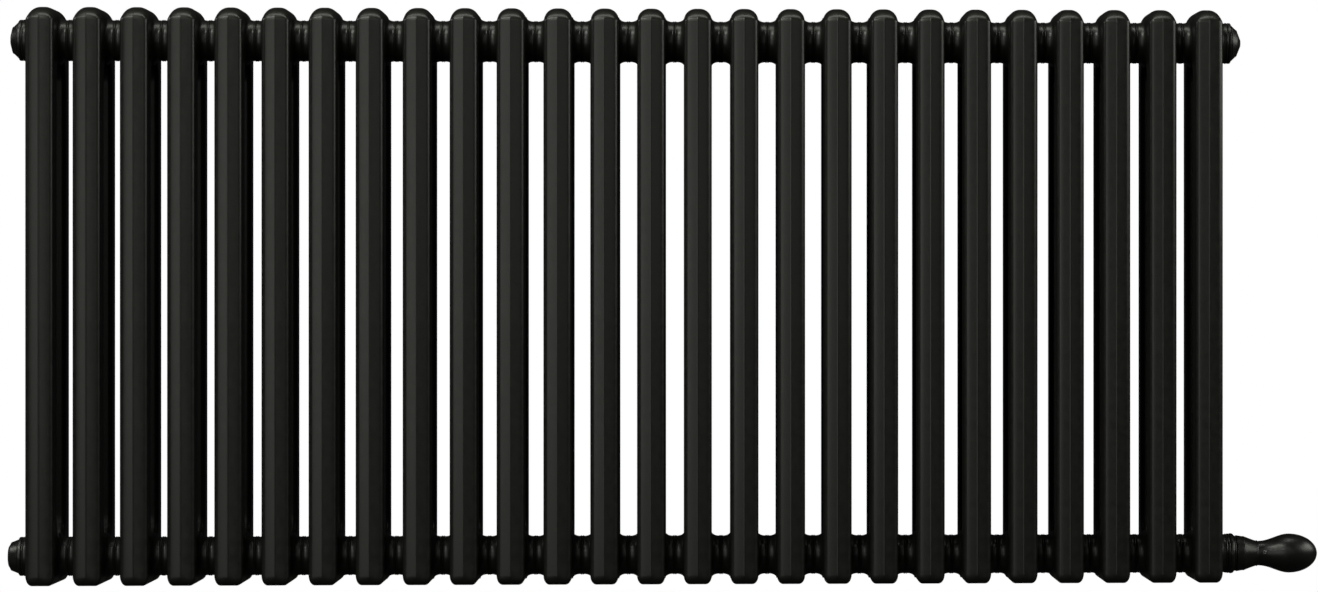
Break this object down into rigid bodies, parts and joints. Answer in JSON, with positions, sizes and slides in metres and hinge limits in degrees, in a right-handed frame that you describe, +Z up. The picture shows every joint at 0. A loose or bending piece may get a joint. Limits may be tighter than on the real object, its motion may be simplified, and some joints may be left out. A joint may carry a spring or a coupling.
{
  "type": "radiator with valve",
  "caption": "Two-column sectional cast radiator with faceted upright columns, round hubs, end plugs and an axial valve with an egg-shaped turning head.",
  "frame": {"origin": "on the top header's axis in the middle seam, the neck that the centre wall hook carries", "axes": "+X along the headers to the valve end, +Y from the room side to the wall, +Z up"},
  "size_m": [1.2735, 0.098, 0.557],
  "materials": {
    "cast_body": "satin black powder coat over casting skin",
    "nipple_iron": "machined malleable iron",
    "gasket": "matte fibre and rubber sheet",
    "plug_paint": "satin black powder coat",
    "vent_brass": "turned",
    "valve_paint": "satin black coat on brass",
    "valve_brass": "turned and cast",
    "inner_steel": "stainless, turned",
    "set_screw": "blackened steel",
    "seal_rubber": "matte",
    "index_paint": "filled paint line",
    "head_plastic": "satin",
    "sensor_metal": "drawn cup"
  },
  "bodies": {
    "radiator": {"section_01": "cast_body", "section_02": "cast_body", "section_03": "cast_body", "section_04": "cast_body", "section_05": "cast_body", "section_06": "cast_body", "section_07": "cast_body", "section_08": "cast_body", "section_09": "cast_body", "section_10": "cast_body", "section_11": "cast_body", "section_12": "cast_body", "section_13": "cast_body", "section_14": "cast_body", "section_15": "cast_body", "section_16": "cast_body", "section_17": "cast_body", "section_18": "cast_body", "section_19": "cast_body", "section_20": "cast_body", "section_21": "cast_body", "section_22": "cast_body", "section_23": "cast_body", "section_24": "cast_body", "section_25": "cast_body", "section_26": "cast_body", "nipples_top": "nipple_iron", "nipples_bottom": "nipple_iron", "gaskets_top": "gasket", "gaskets_bottom": "gasket", "plug_gaskets": "gasket", "plug_top_left": "plug_paint", "bush_bottom_left": "plug_paint", "plug_top_right": "plug_paint", "tail_gasket": "gasket", "valve_tail": "valve_paint", "union_nut": "valve_paint", "valve_body": "valve_brass", "seat_ring": "inner_steel", "return_spring": "inner_steel", "bonnet": "valve_brass", "bonnet_o_ring": "seal_rubber", "spindle_o_rings": "seal_rubber", "skirt": "valve_paint", "index_mark": "index_paint", "clip_ring": "inner_steel"},
    "head": {"handle": "head_plastic", "grub_screw": "set_screw", "drive_ring": "valve_brass"},
    "sensor": {"sensor": "sensor_metal"},
    "pin": {"spindle": "inner_steel", "valve_disc": "seal_rubber"},
    "vent": {"vent_screw": "vent_brass"}
  },
  "joints": [
    {"name": "head_turn", "type": "hinge", "parent": "radiator", "child": "head", "pos_m": [0.6215, 0, -0.5], "axis": [1, 0, 0], "range_deg": [-140, 140]},
    {"name": "sensor_slide", "type": "slide", "parent": "radiator", "child": "sensor", "axis": [1, 0, 0], "range_m": [-0.001, 0.001]},
    {"name": "pin_slide", "type": "slide", "parent": "radiator", "child": "pin", "axis": [1, 0, 0], "range_m": [-0.001, 0.001], "deforming": ["return_spring"]},
    {"name": "vent_turn", "type": "hinge", "parent": "radiator", "child": "vent", "pos_m": [0.5945, 0, 0], "axis": [1, 0, 0], "range_deg": [0, 360]}
  ],
  "couplings": [
    {"joint": "sensor_slide", "follows": "head_turn", "m_per_rad": 0.00039789},
    {"joint": "pin_slide", "follows": "head_turn", "m_per_rad": 0.00039789}
  ]
}
